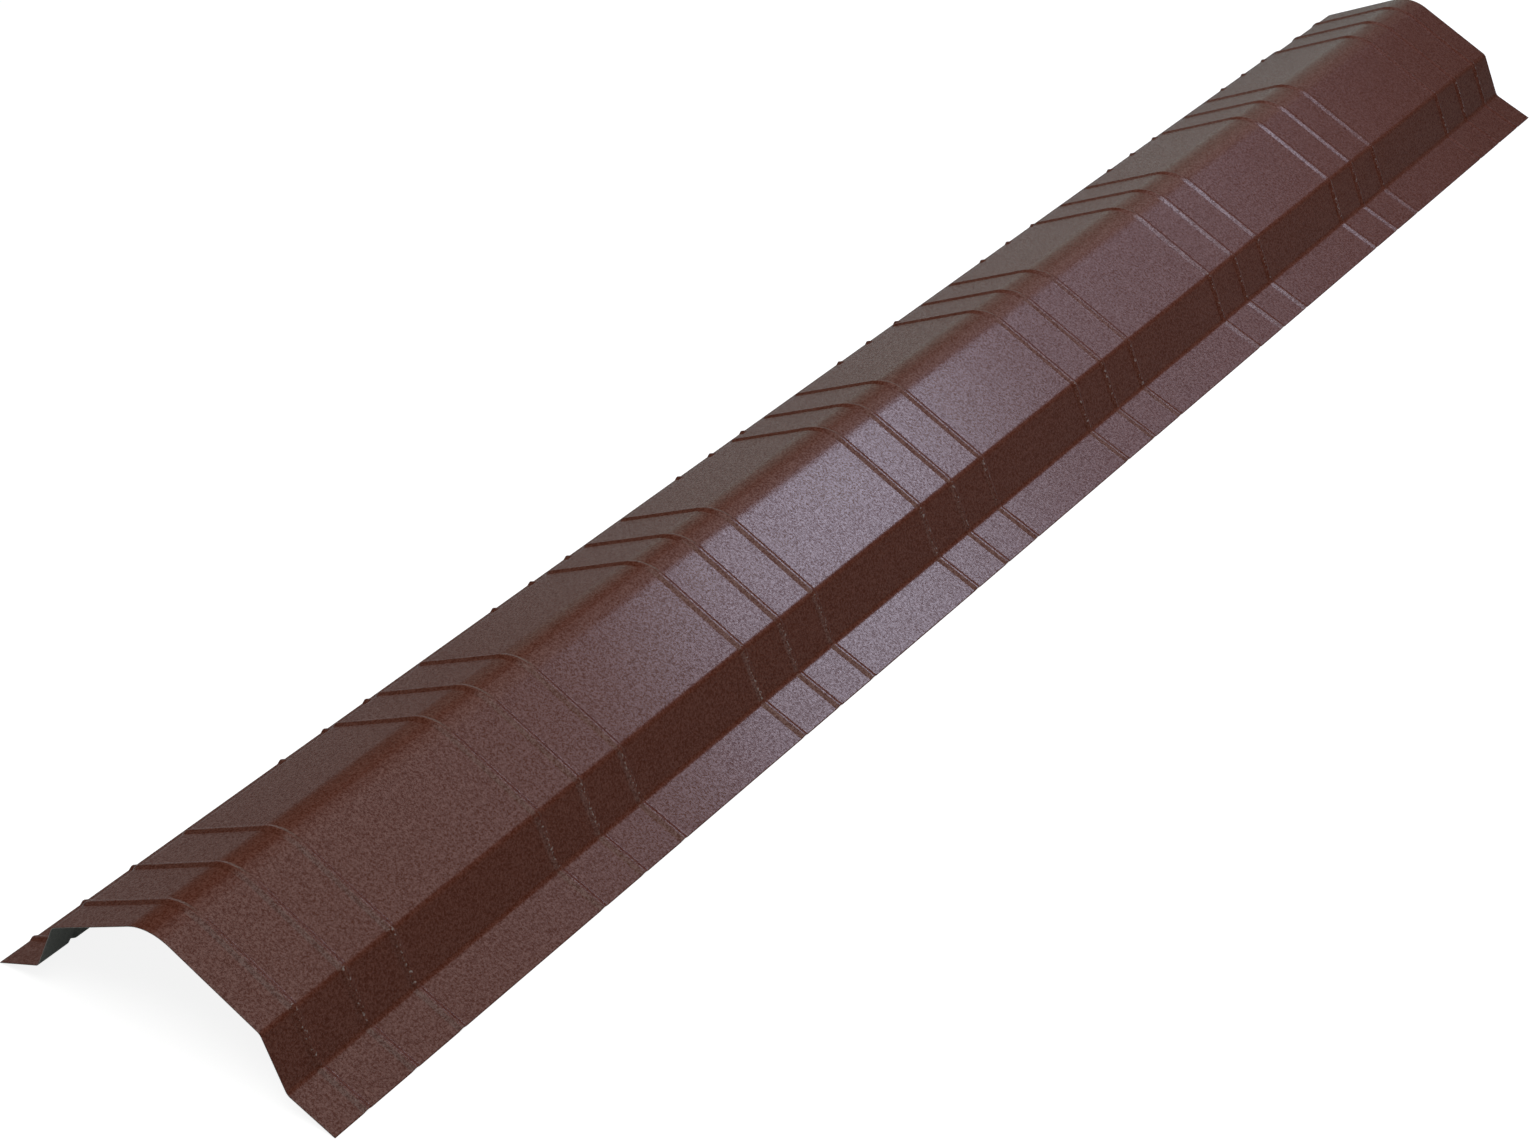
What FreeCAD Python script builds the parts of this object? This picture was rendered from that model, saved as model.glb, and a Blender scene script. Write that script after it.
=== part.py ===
import FreeCAD, Part
import math
import os

# Roof ridge cap: one bent sheet, lying on its flange edges. Millimetres.
# X runs across the cap, Y along the ridge, Z up from the floor.

# sheet
cap_length = 2000.0
sheet_thickness = 0.5

# cross-section, widths between the sharp corners of the outer face
flange_width = 43.7
wall_width = 47.2
slope_width = 106.5
flange_angle = 22.5
wall_angle = 65.0
slope_angle = 26.0

# bends, radii on the outer face
foot_radius = 7.0
shoulder_radius = 8.0
ridge_radius = 44.0

# cross beads, pressed outward over the whole section
bead_groups = 8
beads_per_group = 3
bead_spacing = 50.0
first_bead_from_end = 33.0
bead_foot_width = 9.0
bead_crown_width = 2.2
bead_height = 1.65

# bead positions along the ridge
group_span = (beads_per_group - 1) * bead_spacing
group_pitch = (cap_length - 2 * first_bead_from_end - group_span) / (bead_groups - 1)
bead_places = []
for group in range(bead_groups):
    for bead in range(beads_per_group):
        along = -cap_length / 2 + first_bead_from_end + group * group_pitch + bead * bead_spacing
        bead_places.append(along)

# bead flanks, and how far their corners shift for each millimetre under the outer face
flank_run = (bead_foot_width - bead_crown_width) / 2
flank_angle = math.atan2(bead_height, flank_run)
corner_shift = math.tan(flank_angle / 2)


def bead_line(depth):
    """Corners of the long section at this depth under the outer face, as (along, out) pairs."""
    foot = bead_foot_width / 2 - depth * corner_shift
    crown = bead_crown_width / 2 - depth * corner_shift
    corners = [(-cap_length / 2, -depth)]
    for place in bead_places:
        corners.append((place - foot, -depth))
        corners.append((place - crown, bead_height - depth))
        corners.append((place + crown, bead_height - depth))
        corners.append((place + foot, -depth))
    corners.append((cap_length / 2, -depth))
    return corners


# the sheet's long section: outer face one way, inner face back, ends closed
outer_corners = bead_line(0.0)
inner_corners = bead_line(sheet_thickness)
section_corners = outer_corners + inner_corners[::-1] + outer_corners[:1]


def strip_face(spot, heading):
    """The long section, standing across the bend path at this spot."""
    out = FreeCAD.Vector(-math.sin(heading), 0, math.cos(heading))
    points = [spot + out * rise + FreeCAD.Vector(0, along, 0) for along, rise in section_corners]
    return Part.Face(Part.makePolygon(points))


def flat(spot, heading, length):
    """One flat panel: the long section drawn straight on."""
    step = FreeCAD.Vector(math.cos(heading), 0, math.sin(heading)) * length
    return strip_face(spot, heading).extrude(step), spot + step


def bend(spot, heading, turn, radius):
    """One bend: the long section turned about the bend's axis, radius on the outer face."""
    side = 1 if turn > 0 else -1
    out = FreeCAD.Vector(-math.sin(heading), 0, math.cos(heading))
    axis = spot + out * (side * radius)
    swept = strip_face(spot, heading).revolve(axis, FreeCAD.Vector(0, -1, 0), math.degrees(turn))
    after = heading + turn
    new_out = FreeCAD.Vector(-math.sin(after), 0, math.cos(after))
    return swept, axis - new_out * (side * radius)


# section path, from one flange edge over the ridge to the other
flange_heading = math.radians(flange_angle)
wall_heading = math.radians(wall_angle)
slope_heading = math.radians(slope_angle)
foot_turn = wall_heading - flange_heading
shoulder_turn = wall_heading - slope_heading
ridge_turn = 2 * slope_heading
foot_take = foot_radius * math.tan(foot_turn / 2)
shoulder_take = shoulder_radius * math.tan(shoulder_turn / 2)
ridge_take = ridge_radius * math.tan(ridge_turn / 2)
flange_flat = flange_width - foot_take
wall_flat = wall_width - foot_take - shoulder_take
slope_flat = slope_width - shoulder_take - ridge_take

half_width = (
    flange_width * math.cos(flange_heading)
    + wall_width * math.cos(wall_heading)
    + slope_width * math.cos(slope_heading)
)
edge_lift = sheet_thickness * math.cos(flange_heading)

steps = [
    ("flat", flange_flat),
    ("bend", foot_turn, foot_radius),
    ("flat", wall_flat),
    ("bend", -shoulder_turn, shoulder_radius),
    ("flat", slope_flat),
    ("bend", -ridge_turn, ridge_radius),
    ("flat", slope_flat),
    ("bend", -shoulder_turn, shoulder_radius),
    ("flat", wall_flat),
    ("bend", foot_turn, foot_radius),
    ("flat", flange_flat),
]

spot = FreeCAD.Vector(-half_width, 0, edge_lift)
heading = flange_heading
panels = []
for step in steps:
    if step[0] == "flat":
        panel, spot = flat(spot, heading, step[1])
    else:
        panel, spot = bend(spot, heading, step[1], step[2])
        heading = heading + step[1]
    panels.append(panel)

sheet = panels[0].fuse(panels[1:])
sheet = sheet.Solids[0]

os.makedirs("parts", exist_ok=True)
sheet.exportStep("parts/ridge_cap_sheet.step")
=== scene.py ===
import math

import bmesh
import bpy
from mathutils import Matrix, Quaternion, Vector


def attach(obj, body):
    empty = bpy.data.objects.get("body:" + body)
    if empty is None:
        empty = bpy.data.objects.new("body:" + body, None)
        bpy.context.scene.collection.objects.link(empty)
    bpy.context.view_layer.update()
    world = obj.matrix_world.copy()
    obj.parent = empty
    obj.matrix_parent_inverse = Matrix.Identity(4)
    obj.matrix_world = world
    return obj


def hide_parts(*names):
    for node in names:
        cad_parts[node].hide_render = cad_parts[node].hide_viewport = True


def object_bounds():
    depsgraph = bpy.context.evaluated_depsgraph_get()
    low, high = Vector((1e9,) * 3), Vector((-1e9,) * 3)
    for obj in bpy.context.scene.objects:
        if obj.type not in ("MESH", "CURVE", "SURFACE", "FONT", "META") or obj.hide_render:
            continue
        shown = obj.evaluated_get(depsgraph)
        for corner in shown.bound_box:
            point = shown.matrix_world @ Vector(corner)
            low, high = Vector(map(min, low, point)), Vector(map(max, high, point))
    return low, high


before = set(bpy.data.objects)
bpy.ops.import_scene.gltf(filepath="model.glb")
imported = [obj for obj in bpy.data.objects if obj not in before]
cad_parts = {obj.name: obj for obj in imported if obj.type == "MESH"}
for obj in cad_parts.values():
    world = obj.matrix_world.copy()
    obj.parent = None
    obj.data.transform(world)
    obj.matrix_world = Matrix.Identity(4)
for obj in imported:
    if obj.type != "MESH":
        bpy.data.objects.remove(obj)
cadLow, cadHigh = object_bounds()
print("frame loaded:", sorted(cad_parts))


# sheet: one strip with pressed beads, swept round the bends of the cap (metres, degrees)
capSheet = {
    "node": "ridge_cap_sheet",
    "thickness": 0.0005,
    "length": cadHigh.y - cadLow.y,
    "flangeWidth": 0.0437,        # widths between the sharp corners of the outer face
    "wallWidth": 0.0472,
    "slopeWidth": 0.1065,
    "flangeAngle": 22.5,
    "wallAngle": 65.0,
    "slopeAngle": 26.0,
    "footRadius": 0.007,          # radii on the outer face
    "shoulderRadius": 0.008,
    "ridgeRadius": 0.044,
    "footSteps": 6,
    "shoulderSteps": 6,
    "ridgeSteps": 12,
    "supportWidth": 0.0008,       # narrow strip that keeps the flats flat beside a curve
    "flatStep": 0.028,            # longest mesh step on a flat
    "mergeGap": 1e-6,             # vertices nearer than this become one
}

capBeads = {
    "groups": 8,
    "perGroup": 3,
    "spacing": 0.050,
    "firstFromEnd": 0.033,
    "height": 0.00160,
    "crownWidth": 0.0012,         # flat on top, then round edges, straight flanks and round feet
    "crownRadius": 0.0011,
    "footRadius": 0.0012,
    "flankAngle": 25.0,
    "crownSteps": 3,
    "footSteps": 3,
    "sheenSpecksOnFlats": 0.55,           # share of the light crown specks away from the bends of a wall, against 1 at them; there they are painted sheen
    "speckMargin": 0.0005,       # the full specks at a shoulder start this far past its bend
    "middleBand": 0.002,          # half way down a wall, where the specks are as on a flat
}


def beadPlaces():
    groupSpan = (capBeads["perGroup"] - 1) * capBeads["spacing"]
    freeLength = capSheet["length"] - 2 * capBeads["firstFromEnd"] - groupSpan
    pitch = freeLength / (capBeads["groups"] - 1)
    first = -capSheet["length"] / 2 + capBeads["firstFromEnd"]
    return [
        first + group * pitch + bead * capBeads["spacing"]
        for group in range(capBeads["groups"])
        for bead in range(capBeads["perGroup"])
    ]


def runLengths(total):
    # a flat between two curves: support strip, even steps, support strip
    inner = total - 2 * capSheet["supportWidth"]
    count = max(1, math.ceil(inner / capSheet["flatStep"]))
    return [capSheet["supportWidth"]] + [inner / count] * count + [capSheet["supportWidth"]]


def drawRun(bm, vert, along, rise):
    made = bmesh.ops.extrude_vert_indiv(bm, verts=[vert])
    bmesh.ops.translate(bm, verts=made["verts"], vec=(0, along, rise))
    return made["verts"][0]


def drawFlat(bm, vert, total):
    for length in runLengths(total):
        vert = drawRun(bm, vert, length, 0)
    return vert


def drawArc(bm, vert, along, rise, angle, steps):
    # arc about a centre given from the last vertex
    centre = vert.co + Vector((0, along, rise))
    made = bmesh.ops.spin(bm, geom=[vert], cent=centre, axis=(1, 0, 0), angle=angle, steps=steps)
    return made["geom_last"][0]


def drawLongSection(bm):
    flank = math.radians(capBeads["flankAngle"])
    crown, foot = capBeads["crownRadius"], capBeads["footRadius"]
    arcRise = (crown + foot) * (1 - math.cos(flank))
    flankRise = capBeads["height"] - arcRise
    flankRun = flankRise / math.tan(flank)
    halfBead = (crown + foot) * math.sin(flank) + flankRun + capBeads["crownWidth"] / 2
    vert = bm.verts.new((0, -capSheet["length"] / 2, 0))
    for place in beadPlaces():
        vert = drawFlat(bm, vert, place - halfBead - vert.co.y)
        vert = drawArc(bm, vert, 0, foot, flank, capBeads["footSteps"])
        vert = drawRun(bm, vert, flankRun, flankRise)
        vert = drawArc(
            bm, vert, crown * math.sin(flank), -crown * math.cos(flank), -flank, capBeads["crownSteps"]
        )
        vert = drawRun(bm, vert, capBeads["crownWidth"], 0)
        vert = drawArc(bm, vert, 0, -crown, -flank, capBeads["crownSteps"])
        vert = drawRun(bm, vert, flankRun, -flankRise)
        vert = drawArc(
            bm, vert, foot * math.sin(flank), foot * math.cos(flank), flank, capBeads["footSteps"]
        )
    drawFlat(bm, vert, capSheet["length"] / 2 - vert.co.y)


def sweepFlat(bm, edges, heading, total):
    ahead = Vector((math.cos(heading), 0, math.sin(heading)))
    for length in runLengths(total):
        made = bmesh.ops.extrude_edge_only(bm, edges=edges)["geom"]
        verts = [part for part in made if isinstance(part, bmesh.types.BMVert)]
        edges = [part for part in made if isinstance(part, bmesh.types.BMEdge)]
        bmesh.ops.translate(bm, verts=verts, vec=ahead * length)
    return edges


def sweepBend(bm, edges, spot, heading, turn, radius, steps):
    outward = Vector((-math.sin(heading), 0, math.cos(heading)))
    side = 1 if turn > 0 else -1
    centre = spot + outward * radius * side
    made = bmesh.ops.spin(bm, geom=edges, cent=centre, axis=(0, -1, 0), angle=turn, steps=steps)
    after = heading + turn
    newOutward = Vector((-math.sin(after), 0, math.cos(after)))
    edges = [part for part in made["geom_last"] if isinstance(part, bmesh.types.BMEdge)]
    return edges, centre - newOutward * radius * side


def markCrownSpecks(bm, shoulderX, footX):
    # light specks on the bead crowns, most of all at the bends of the two walls; away from the bends
    # they are painted sheen
    layer = bm.verts.layers.float.new("crownSpecks")
    middle = (shoulderX + footX) / 2
    for place in beadPlaces():
        for vert in bm.verts:
            across = abs(vert.co.x)
            onCrown = abs(vert.co.y - place) < capBeads["crownWidth"]
            atBend = shoulderX < across < footX and abs(across - middle) > capBeads["middleBand"]
            if onCrown and atBend:
                vert[layer] = 1.0
            # crowns away from the bends: painted sheen specks at a smaller share
            elif onCrown and across > capSheet["ridgeRadius"] / 2:
                vert[layer] = capBeads["sheenSpecksOnFlats"]


def makeCapSheet():
    flange = math.radians(capSheet["flangeAngle"])
    wall = math.radians(capSheet["wallAngle"])
    slope = math.radians(capSheet["slopeAngle"])
    footTurn, shoulderTurn, ridgeTurn = wall - flange, wall - slope, 2 * slope
    footTake = capSheet["footRadius"] * math.tan(footTurn / 2)
    shoulderTake = capSheet["shoulderRadius"] * math.tan(shoulderTurn / 2)
    ridgeTake = capSheet["ridgeRadius"] * math.tan(ridgeTurn / 2)
    halfWidth = (
        capSheet["flangeWidth"] * math.cos(flange)
        + capSheet["wallWidth"] * math.cos(wall)
        + capSheet["slopeWidth"] * math.cos(slope)
    )
    flangeFlat = ("flat", capSheet["flangeWidth"] - footTake)
    wallFlat = ("flat", capSheet["wallWidth"] - footTake - shoulderTake)
    slopeFlat = ("flat", capSheet["slopeWidth"] - shoulderTake - ridgeTake)
    footBend = ("bend", footTurn, capSheet["footRadius"], capSheet["footSteps"])
    shoulderBend = ("bend", -shoulderTurn, capSheet["shoulderRadius"], capSheet["shoulderSteps"])
    ridgeBend = ("bend", -ridgeTurn, capSheet["ridgeRadius"], capSheet["ridgeSteps"])
    rise = [flangeFlat, footBend, wallFlat, shoulderBend, slopeFlat]
    path = rise + [ridgeBend] + rise[::-1]

    bm = bmesh.new()
    drawLongSection(bm)
    spot = Vector((-halfWidth, 0, capSheet["thickness"] * math.cos(flange)))
    lean = Quaternion((0, -1, 0), flange).to_matrix()
    bmesh.ops.rotate(bm, verts=bm.verts, cent=(0, 0, 0), matrix=lean)
    bmesh.ops.translate(bm, verts=bm.verts, vec=spot)
    edges, heading = list(bm.edges), flange
    for step in path:
        if step[0] == "flat":
            edges = sweepFlat(bm, edges, heading, step[1])
            spot = spot + Vector((math.cos(heading), 0, math.sin(heading))) * step[1]
        else:
            edges, spot = sweepBend(bm, edges, spot, heading, step[1], step[2], step[3])
            heading += step[1]
    bmesh.ops.remove_doubles(bm, verts=bm.verts, dist=capSheet["mergeGap"])
    bmesh.ops.recalc_face_normals(bm, faces=bm.faces)
    if sum(face.normal.z for face in bm.faces) < 0:
        bmesh.ops.reverse_faces(bm, faces=bm.faces)
    shoulderX = (capSheet["slopeWidth"] - shoulderTake) * math.cos(slope) + capBeads["speckMargin"]
    footX = halfWidth - capSheet["flangeWidth"] * math.cos(flange)
    markCrownSpecks(bm, shoulderX, footX)
    for face in bm.faces:
        face.smooth = True
    mesh = bpy.data.meshes.new("ridgeCapSheet")
    bm.to_mesh(mesh)
    bm.free()
    piece = bpy.data.objects.new("ridgeCapSheet", mesh)
    bpy.context.scene.collection.objects.link(piece)
    wallThickness = piece.modifiers.new("sheetThickness", "SOLIDIFY")
    wallThickness.thickness = capSheet["thickness"]
    wallThickness.offset = -1
    wallThickness.use_even_offset = True
    wallThickness.material_offset = 1
    wallThickness.material_offset_rim = 2
    return piece


# node helpers
def addNode(tree, kind, spot, **settings):
    node = tree.nodes.new(kind)
    node.location = spot
    for name, value in settings.items():
        setattr(node, name, value)
    return node


def setInputs(node, **values):
    for name, value in values.items():
        node.inputs[name].default_value = value


# grain: the sandy skin of the coats, as a height from 0 to 1 and a slow blotch
grainNoise = {
    "scale": 480.0,
    "detail": 2.0,
    "roughness": 1.0,
    "low": 0.38,                  # noise that becomes height 0 and height 1
    "high": 0.62,
    "blotchScale": 7.0,
    "blotchDetail": 3.0,
}


def makeGrainGroup():
    tree = bpy.data.node_groups.new("sandyGrain", "ShaderNodeTree")
    tree.interface.new_socket("Vector", in_out="INPUT", socket_type="NodeSocketVector")
    tree.interface.new_socket("Height", in_out="OUTPUT", socket_type="NodeSocketFloat")
    tree.interface.new_socket("Blotch", in_out="OUTPUT", socket_type="NodeSocketFloat")
    groupIn = addNode(tree, "NodeGroupInput", (-700, 0))
    groupOut = addNode(tree, "NodeGroupOutput", (300, 0))
    grain = addNode(tree, "ShaderNodeTexNoise", (-400, 200))
    setInputs(grain, Scale=grainNoise["scale"], Detail=grainNoise["detail"])
    setInputs(grain, Roughness=grainNoise["roughness"])
    height = addNode(tree, "ShaderNodeMapRange", (-100, 200))
    height.inputs["From Min"].default_value = grainNoise["low"]
    height.inputs["From Max"].default_value = grainNoise["high"]
    blotch = addNode(tree, "ShaderNodeTexNoise", (-400, -200))
    setInputs(blotch, Scale=grainNoise["blotchScale"], Detail=grainNoise["blotchDetail"])
    link = tree.links.new
    link(groupIn.outputs["Vector"], grain.inputs["Vector"])
    link(groupIn.outputs["Vector"], blotch.inputs["Vector"])
    link(grain.outputs["Fac"], height.inputs["Value"])
    link(height.outputs["Result"], groupOut.inputs["Height"])
    link(blotch.outputs["Fac"], groupOut.inputs["Blotch"])
    return tree


grainGroup = makeGrainGroup()

brownCoat = {
    "low": (0.0630, 0.0124, 0.0042, 1.0),      # colours of the grain's pits and tops
    "lowWorn": (0.0710, 0.0142, 0.0052, 1.0),
    "top": (0.1230, 0.0394, 0.0246, 1.0),
    "bumpDistance": 0.00012,
    "rough": 0.50,
    "specular": 0.03,
    "glossLow": 0.26,                           # clear layer over the pits and the tops
    "glossTop": 0.86,
    "glossRough": 0.27,
    "speck": (0.260, 0.205, 0.185, 1.0),        # light specks on the bead crowns, painted sheen away from the wall bends
    "speckScale": 420.0,
    "speckDetail": 1.0,
    "speckFrom": 0.58,
    "speckTo": 0.72,
    "speckFade": 3.0,                           # how fast the spots fade away from a bend
}

backCoat = {
    "low": (0.130, 0.145, 0.130, 1.0),
    "lowWorn": (0.160, 0.176, 0.160, 1.0),
    "top": (0.235, 0.255, 0.230, 1.0),
    "bumpDistance": 0.00005,
    "rough": 0.50,
    "specular": 0.30,
    "glossLow": 0.0,
    "glossTop": 0.05,
    "glossRough": 0.40,
    # light specks on the bead crowns of the back coat, painted sheen away from the wall bends
    "speck": (0.230, 0.245, 0.225, 1.0),
    "speckScale": 230.0,
    "speckDetail": 1.0,
    "speckFrom": 0.66,
    "speckTo": 0.80,
    "speckFade": 3.0,
}


def makeCoat(name, look):
    material = bpy.data.materials.new(name)
    material.use_nodes = True
    tree = material.node_tree
    link = tree.links.new
    shader = tree.nodes["Principled BSDF"]
    setInputs(shader, Roughness=look["rough"])
    setInputs(shader, **{"Specular IOR Level": look["specular"], "Coat Roughness": look["glossRough"]})
    place = addNode(tree, "ShaderNodeTexCoord", (-1100, 0))
    grain = addNode(tree, "ShaderNodeGroup", (-900, 0), node_tree=grainGroup)
    pits = addNode(tree, "ShaderNodeMix", (-600, 300), data_type="RGBA")
    pits.inputs["A"].default_value = look["low"]
    pits.inputs["B"].default_value = look["lowWorn"]
    colour = addNode(tree, "ShaderNodeMix", (-350, 300), data_type="RGBA")
    colour.inputs["B"].default_value = look["top"]
    gloss = addNode(tree, "ShaderNodeMapRange", (-350, 0))
    gloss.inputs["To Min"].default_value = look["glossLow"]
    gloss.inputs["To Max"].default_value = look["glossTop"]
    bump = addNode(tree, "ShaderNodeBump", (-350, -350))
    bump.inputs["Distance"].default_value = look["bumpDistance"]
    # crown specks: a light colour mixed in on the bead crowns, painted sheen away from the wall bends
    crownSpecks = addNode(tree, "ShaderNodeAttribute", (-1100, 650), attribute_name="crownSpecks")
    spots = addNode(tree, "ShaderNodeTexNoise", (-1100, 450))
    setInputs(spots, Scale=look["speckScale"], Detail=look["speckDetail"])
    speckCut = addNode(tree, "ShaderNodeMapRange", (-850, 550))
    speckCut.inputs["From Min"].default_value = look["speckFrom"]
    speckCut.inputs["From Max"].default_value = look["speckTo"]
    nearBend = addNode(tree, "ShaderNodeMath", (-850, 750), operation="POWER")
    nearBend.inputs[1].default_value = look["speckFade"]
    share = addNode(tree, "ShaderNodeMath", (-600, 600), operation="MULTIPLY")
    speckedColour = addNode(tree, "ShaderNodeMix", (-100, 400), data_type="RGBA")
    speckedColour.inputs["B"].default_value = look["speck"]
    link(place.outputs["Object"], spots.inputs["Vector"])
    link(spots.outputs["Fac"], speckCut.inputs["Value"])
    link(speckCut.outputs["Result"], share.inputs[0])
    link(crownSpecks.outputs["Fac"], nearBend.inputs[0])
    link(nearBend.outputs[0], share.inputs[1])
    link(place.outputs["Object"], grain.inputs["Vector"])
    link(grain.outputs["Blotch"], pits.inputs["Factor"])
    link(pits.outputs["Result"], colour.inputs["A"])
    link(grain.outputs["Height"], colour.inputs["Factor"])
    link(grain.outputs["Height"], gloss.inputs["Value"])
    link(grain.outputs["Height"], bump.inputs["Height"])
    link(colour.outputs["Result"], speckedColour.inputs["A"])
    link(share.outputs[0], speckedColour.inputs["Factor"])
    link(speckedColour.outputs["Result"], shader.inputs["Base Color"])
    link(gloss.outputs["Result"], shader.inputs["Coat Weight"])
    link(bump.outputs["Normal"], shader.inputs["Normal"])
    return material


cutEdge = {
    "bright": (0.42, 0.41, 0.39, 1.0),
    "dull": (0.16, 0.13, 0.12, 1.0),
    "streakScale": 160.0,
    "streakDetail": 2.0,
    "metal": 0.6,
    "rough": 0.45,
}


def makeCutEdge():
    material = bpy.data.materials.new("cutSteelEdge")
    material.use_nodes = True
    tree = material.node_tree
    link = tree.links.new
    shader = tree.nodes["Principled BSDF"]
    setInputs(shader, Metallic=cutEdge["metal"], Roughness=cutEdge["rough"])
    place = addNode(tree, "ShaderNodeTexCoord", (-800, 0))
    streak = addNode(tree, "ShaderNodeTexNoise", (-600, 0))
    setInputs(streak, Scale=cutEdge["streakScale"], Detail=cutEdge["streakDetail"])
    colour = addNode(tree, "ShaderNodeMix", (-300, 0), data_type="RGBA")
    colour.inputs["A"].default_value = cutEdge["dull"]
    colour.inputs["B"].default_value = cutEdge["bright"]
    link(place.outputs["Object"], streak.inputs["Vector"])
    link(streak.outputs["Fac"], colour.inputs["Factor"])
    link(colour.outputs["Result"], shader.inputs["Base Color"])
    return material


sheet = makeCapSheet()
for coat in (
    makeCoat("brownSandyCoat", brownCoat),
    makeCoat("greyBackCoat", backCoat),
    makeCutEdge(),
):
    sheet.data.materials.append(coat)
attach(sheet, "root")
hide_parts(capSheet["node"])
print("sheet made:", len(sheet.data.polygons), "faces a side")


# floor: pale, white to the camera, and it keeps the shadow
studioFloor = {
    "size": 40.0,
    "drop": 0.0003,               # just under the flanges
    "colour": (0.35, 0.35, 0.35, 1.0),
    "rough": 0.9,
    "lift": 0.88,                 # own white, as the camera sees it
    "sheenLift": 0.15,            # share of that white in the coat's dull sheen
}


def seenDirectly(tree, spot):
    # the full white for camera and transmission rays, a small share of it for glossy rays
    path = addNode(tree, "ShaderNodeLightPath", spot)
    sheen = addNode(tree, "ShaderNodeMath", (spot[0] + 200, spot[1] - 200), operation="MULTIPLY")
    sheen.inputs[1].default_value = studioFloor["sheenLift"]
    first = addNode(tree, "ShaderNodeMath", (spot[0] + 200, spot[1]), operation="MAXIMUM")
    both = addNode(tree, "ShaderNodeMath", (spot[0] + 400, spot[1]), operation="MAXIMUM")
    tree.links.new(path.outputs["Is Glossy Ray"], sheen.inputs[0])
    tree.links.new(path.outputs["Is Camera Ray"], first.inputs[0])
    tree.links.new(path.outputs["Is Transmission Ray"], first.inputs[1])
    tree.links.new(first.outputs[0], both.inputs[0])
    tree.links.new(sheen.outputs[0], both.inputs[1])
    return both.outputs[0]


def makeFloor():
    bm = bmesh.new()
    bmesh.ops.create_grid(bm, x_segments=1, y_segments=1, size=studioFloor["size"] / 2)
    bmesh.ops.translate(bm, verts=bm.verts, vec=(0, 0, -studioFloor["drop"]))
    mesh = bpy.data.meshes.new("studioFloor")
    bm.to_mesh(mesh)
    bm.free()
    floor = bpy.data.objects.new("studioFloor", mesh)
    bpy.context.scene.collection.objects.link(floor)
    material = bpy.data.materials.new("paleFloor")
    material.use_nodes = True
    tree = material.node_tree
    shader = tree.nodes["Principled BSDF"]
    setInputs(shader, Roughness=studioFloor["rough"])
    setInputs(shader, **{"Base Color": studioFloor["colour"], "Specular IOR Level": 0.0})
    setInputs(shader, **{"Emission Color": (1, 1, 1, 1)})
    lift = addNode(tree, "ShaderNodeMath", (-200, -300), operation="MULTIPLY")
    lift.inputs[1].default_value = studioFloor["lift"]
    tree.links.new(seenDirectly(tree, (-800, -300)), lift.inputs[0])
    tree.links.new(lift.outputs[0], shader.inputs["Emission Strength"])
    mesh.materials.append(material)


makeFloor()
print("floor made")


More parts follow.
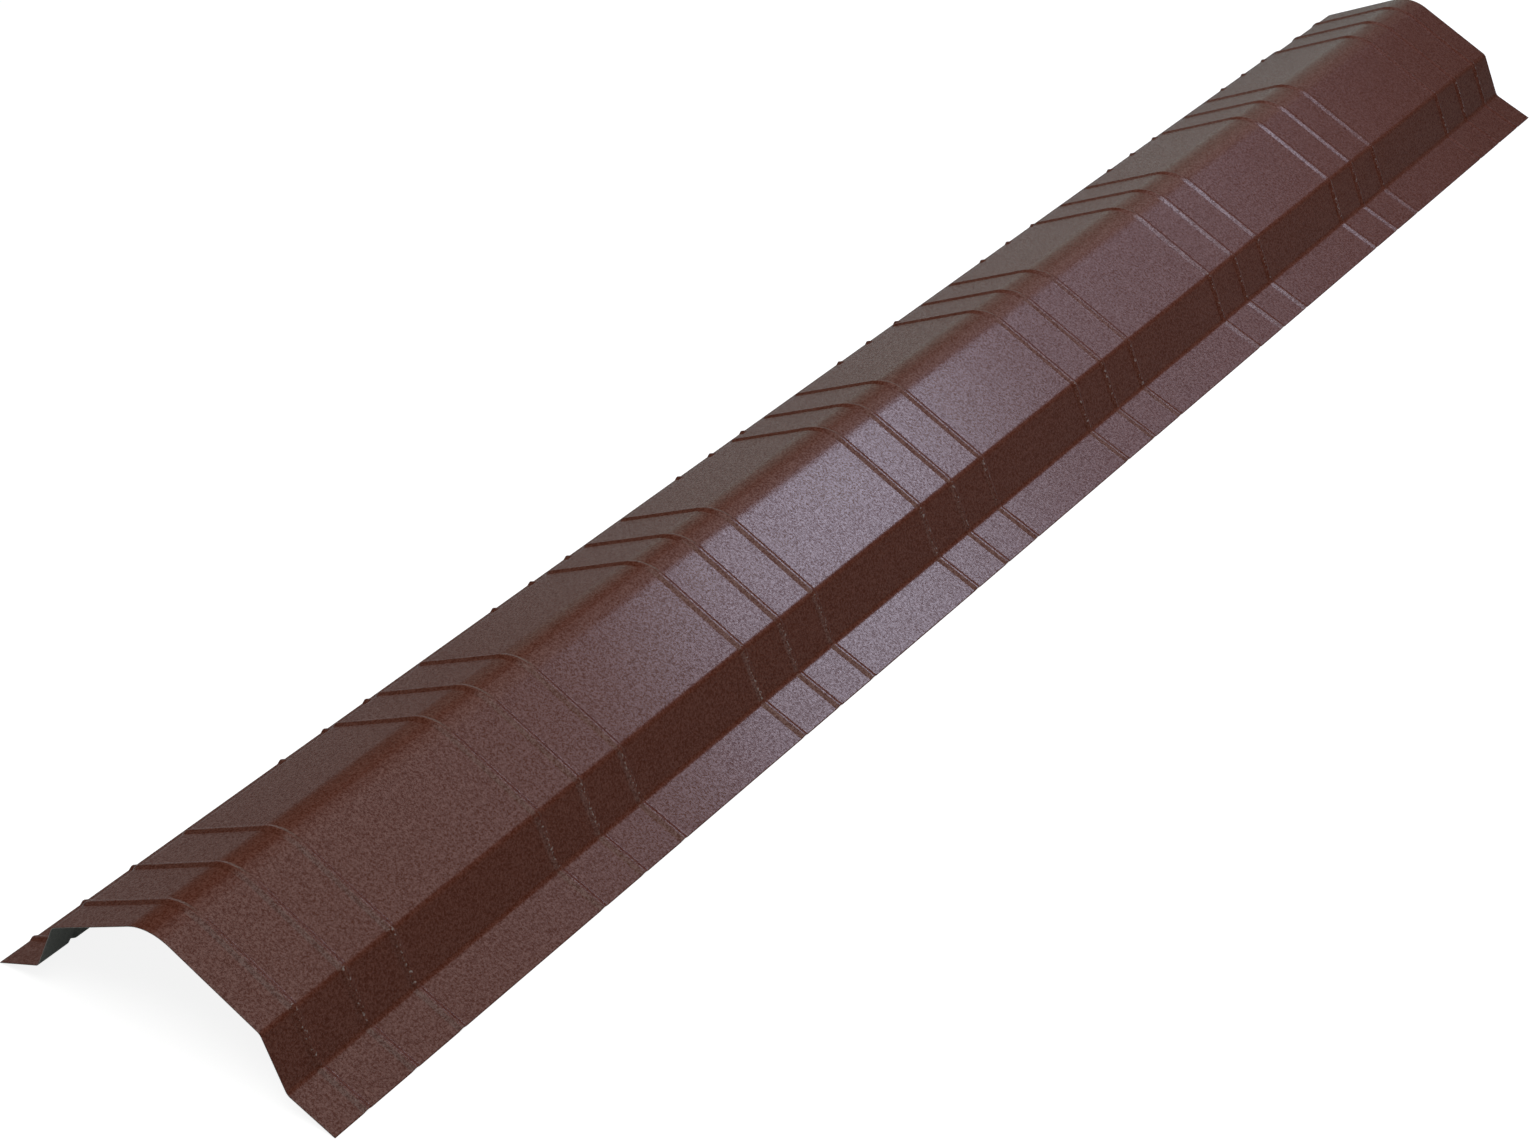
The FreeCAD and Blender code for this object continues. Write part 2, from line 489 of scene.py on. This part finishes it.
# light: a box over the far half, a far window and panels overhead for the right side,
# one low on the right for the wall, a strip past the ridge and two panels behind on the left
lamps = {
    "farHalfBox": {
        "place": (0.24, 0.69, 1.02), "aim": (0.18, 0.27, 0.00), "size": (0.34, 0.45),
        "watts": 4.9, "colour": (0.72, 0.78, 1.0),
    },
    "farWindow": {
        "place": (0.50, 3.20, 2.50), "aim": (0.06, 0.00, 0.05), "size": (1.00, 1.00),
        "watts": 8.8, "colour": (0.72, 0.78, 1.0),
    },
    "overheadPanel": {
        "place": (0.45, -1.00, 1.90), "aim": (0.45, -1.00, 0.00), "size": (2.40, 1.80),
        "watts": 23.0, "colour": (1.0, 1.0, 0.99),
    },
    "overheadGlow": {
        "place": (0.40, 0.45, 1.90), "aim": (0.40, 0.45, 0.00), "size": (1.20, 1.10),
        "watts": 4.6, "colour": (1.0, 0.99, 1.0),
    },
    "nearGlow": {
        "place": (0.47, -1.50, 1.90), "aim": (0.47, -1.50, 0.00), "size": (1.00, 1.00),
        "watts": 5.5, "colour": (1.0, 1.0, 0.99),
    },
    "rightPanel": {
        "place": (2.60, -0.45, 0.40), "aim": (0.10, -0.45, 0.04), "size": (1.30, 0.60),
        "watts": 2.9, "colour": (1.0, 0.97, 0.97),
    },
    "ridgeStrip": {
        "place": (-0.65, 2.10, 1.95), "aim": (-0.65, 2.10, 0.00), "size": (1.10, 4.00),
        "watts": 10.5, "colour": (1.0, 0.98, 1.0),
    },
    "leftPanel": {
        "place": (-2.20, 3.10, 1.05), "aim": (-0.06, 0.20, 0.05), "size": (2.80, 2.10),
        "watts": 6.6, "colour": (0.74, 1.0, 0.96),
    },
    "leftLow": {
        "place": (-2.20, 3.10, 0.26), "aim": (-0.06, 0.20, 0.05), "size": (2.80, 0.50),
        "watts": 1.8, "colour": (0.74, 1.0, 0.96),
    },
}
room = {"strength": 0.10, "colour": (0.95, 1.0, 0.92, 1.0)}


def lookAt(thing, aim, roll=0.0):
    toward = Vector(aim) - thing.location
    turn = toward.to_track_quat("-Z", "Y") @ Quaternion((0, 0, 1), math.radians(roll))
    thing.rotation_euler = turn.to_euler()


def makeLamp(name, look):
    lamp = bpy.data.lights.new(name, "AREA")
    lamp.shape = "RECTANGLE"
    lamp.size, lamp.size_y = look["size"]
    lamp.energy = look["watts"]
    lamp.color = look["colour"]
    holder = bpy.data.objects.new(name, lamp)
    bpy.context.scene.collection.objects.link(holder)
    holder.location = look["place"]
    holder.visible_camera = False
    lookAt(holder, look["aim"])


def makeRoom():
    world = bpy.data.worlds.new("studioRoom")
    bpy.context.scene.world = world
    world.use_nodes = True
    background = world.node_tree.nodes["Background"]
    setInputs(background, Color=room["colour"], Strength=room["strength"])


for lampName, lampLook in lamps.items():
    makeLamp(lampName, lampLook)
makeRoom()
print("light and room made")


# camera: the photograph's view, from above the near end
photoView = {
    "place": (1.2395, -2.1092, 1.4229),
    "aim": (0.0370, -0.3251, 0.0500),
    "roll": 0.80,
    "lens": 73.13,
    "sensor": 36.0,
}


def makeCamera():
    data = bpy.data.cameras.new("photoView")
    data.lens = photoView["lens"]
    data.sensor_width = photoView["sensor"]
    camera = bpy.data.objects.new("photoView", data)
    bpy.context.scene.collection.objects.link(camera)
    camera.location = photoView["place"]
    lookAt(camera, photoView["aim"], photoView["roll"])
    bpy.context.scene.camera = camera


makeCamera()
print("camera set")
bpy.context.scene.view_settings.view_transform = "Standard"
